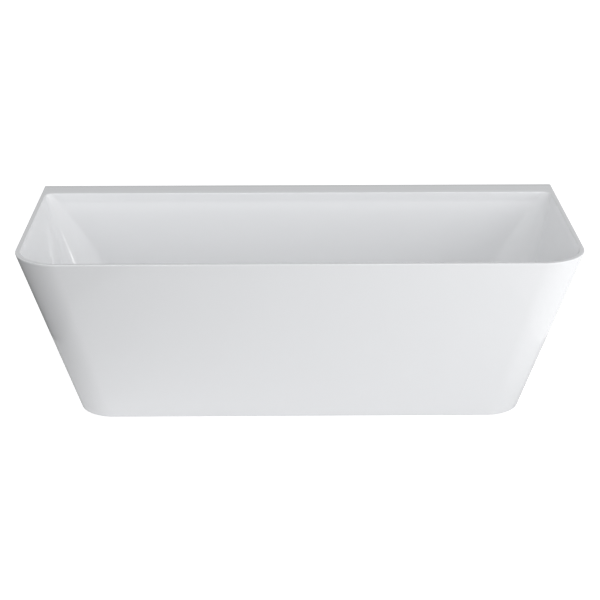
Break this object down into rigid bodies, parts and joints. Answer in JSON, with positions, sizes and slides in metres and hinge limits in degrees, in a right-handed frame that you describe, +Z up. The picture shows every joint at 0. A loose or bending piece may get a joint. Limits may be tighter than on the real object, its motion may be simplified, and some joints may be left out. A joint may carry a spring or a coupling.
{
  "type": "freestanding bathtub",
  "caption": "Back-to-wall freestanding bath: tapering rounded skirt, slim rim, flat rear deck, deep sloped basin, press-to-close waste and screw-levelled feet.",
  "frame": {"origin": "on the floor, at the middle of the bath's outline", "axes": "+X along the bath, +Y towards the wall behind it, +Z up"},
  "size_m": [1.69, 0.8, 0.56],
  "materials": {
    "acrylic": "polished white sanitary acrylic",
    "glassfibre": "sprayed glass-fibre laminate, pale, translucent",
    "chipboard": "resin-coated chipboard",
    "softwood": "planed softwood batten",
    "galvanised": "galvanised steel tube",
    "zinc_plate": "bright zinc-plated steel",
    "black_plastic": "moulded black polyamide",
    "sole_rubber": "ribbed rubber sole",
    "chrome": "mirror chrome on brass",
    "brass": "turned brass",
    "seal_rubber": "soft black seal rubber",
    "spring_steel": "drawn spring wire",
    "trap_plastic": "white polypropylene"
  },
  "bodies": {
    "bath": {"inner_shell": "acrylic", "outer_skirt": "acrylic", "shell_laminate": "glassfibre", "skirt_laminate": "glassfibre", "base_board": "chipboard", "front_batten": "softwood", "left_batten": "softwood", "right_batten": "softwood", "deck_batten": "softwood", "rail_front": "galvanised", "rail_rear": "galvanised", "cross_tube_left": "galvanised", "cross_tube_right": "galvanised", "tube_end_caps": "black_plastic", "frame_bolts": "zinc_plate", "frame_nuts": "zinc_plate", "board_screws": "zinc_plate", "centre_leg_plates": "zinc_plate", "skirt_brackets": "galvanised", "bracket_screws": "zinc_plate", "wall_clips": "galvanised", "wall_clip_screws": "zinc_plate", "levelling_nuts": "zinc_plate", "lock_nuts": "zinc_plate", "waste_body": "chrome", "waste_top_seal": "seal_rubber", "waste_bottom_seal": "seal_rubber", "waste_back_nut": "brass", "plug_cartridge": "brass", "plug_spring": "spring_steel", "trap_body": "trap_plastic", "trap_inlet_washer": "seal_rubber", "trap_union_nut": "trap_plastic", "trap_outlet_nut": "trap_plastic", "trap_outlet_washer": "seal_rubber", "trap_cleaning_cap": "trap_plastic"},
    "plug": {"plug_cap": "chrome", "plug_seal": "seal_rubber", "plug_stem": "brass"},
    "foot_1_base": {"foot_1_sole": "sole_rubber", "foot_1_pad": "black_plastic"},
    "foot_1_screw": {"foot_1_stud": "zinc_plate"},
    "foot_2_base": {"foot_2_sole": "sole_rubber", "foot_2_pad": "black_plastic"},
    "foot_2_screw": {"foot_2_stud": "zinc_plate"},
    "foot_3_base": {"foot_3_sole": "sole_rubber", "foot_3_pad": "black_plastic"},
    "foot_3_screw": {"foot_3_stud": "zinc_plate"},
    "foot_4_base": {"foot_4_sole": "sole_rubber", "foot_4_pad": "black_plastic"},
    "foot_4_screw": {"foot_4_stud": "zinc_plate"},
    "foot_5_base": {"foot_5_sole": "sole_rubber", "foot_5_pad": "black_plastic"},
    "foot_5_screw": {"foot_5_stud": "zinc_plate"},
    "foot_6_base": {"foot_6_sole": "sole_rubber", "foot_6_pad": "black_plastic"},
    "foot_6_screw": {"foot_6_stud": "zinc_plate"}
  },
  "joints": [
    {"name": "plug_press", "type": "slide", "parent": "bath", "child": "plug", "axis": [0, 0, 1], "range_m": [-0.008, 0], "stiffness_N_per_m": 400, "springref_m": 0.01, "deforming": ["plug_spring"]},
    {"name": "foot_1_height", "type": "slide", "parent": "bath", "child": "foot_1_base", "axis": [0, 0, 1], "range_m": [-0.015, 0.01]},
    {"name": "foot_1_turn", "type": "hinge", "parent": "foot_1_base", "child": "foot_1_screw", "pos_m": [-0.43, -0.15152, 0.05], "axis": [0, 0, 1], "range_deg": [-3090, 2060]},
    {"name": "foot_2_height", "type": "slide", "parent": "bath", "child": "foot_2_base", "axis": [0, 0, 1], "range_m": [-0.015, 0.01]},
    {"name": "foot_2_turn", "type": "hinge", "parent": "foot_2_base", "child": "foot_2_screw", "pos_m": [-0.43, 0.1337, 0.05], "axis": [0, 0, 1], "range_deg": [-3090, 2060]},
    {"name": "foot_3_height", "type": "slide", "parent": "bath", "child": "foot_3_base", "axis": [0, 0, 1], "range_m": [-0.015, 0.01]},
    {"name": "foot_3_turn", "type": "hinge", "parent": "foot_3_base", "child": "foot_3_screw", "pos_m": [0.43, -0.15152, 0.05], "axis": [0, 0, 1], "range_deg": [-3090, 2060]},
    {"name": "foot_4_height", "type": "slide", "parent": "bath", "child": "foot_4_base", "axis": [0, 0, 1], "range_m": [-0.015, 0.01]},
    {"name": "foot_4_turn", "type": "hinge", "parent": "foot_4_base", "child": "foot_4_screw", "pos_m": [0.43, 0.1337, 0.05], "axis": [0, 0, 1], "range_deg": [-3090, 2060]},
    {"name": "foot_5_height", "type": "slide", "parent": "bath", "child": "foot_5_base", "axis": [0, 0, 1], "range_m": [-0.015, 0.01]},
    {"name": "foot_5_turn", "type": "hinge", "parent": "foot_5_base", "child": "foot_5_screw", "pos_m": [-0.16, -0.00891, 0.05], "axis": [0, 0, 1], "range_deg": [-3090, 2060]},
    {"name": "foot_6_height", "type": "slide", "parent": "bath", "child": "foot_6_base", "axis": [0, 0, 1], "range_m": [-0.015, 0.01]},
    {"name": "foot_6_turn", "type": "hinge", "parent": "foot_6_base", "child": "foot_6_screw", "pos_m": [0.16, -0.00891, 0.05], "axis": [0, 0, 1], "range_deg": [-3090, 2060]}
  ],
  "couplings": [
    {"joint": "foot_1_turn", "follows": "foot_1_height", "rad_per_m": 3590.4},
    {"joint": "foot_2_turn", "follows": "foot_2_height", "rad_per_m": 3590.4},
    {"joint": "foot_3_turn", "follows": "foot_3_height", "rad_per_m": 3590.4},
    {"joint": "foot_4_turn", "follows": "foot_4_height", "rad_per_m": 3590.4},
    {"joint": "foot_5_turn", "follows": "foot_5_height", "rad_per_m": 3590.4},
    {"joint": "foot_6_turn", "follows": "foot_6_height", "rad_per_m": 3590.4}
  ]
}
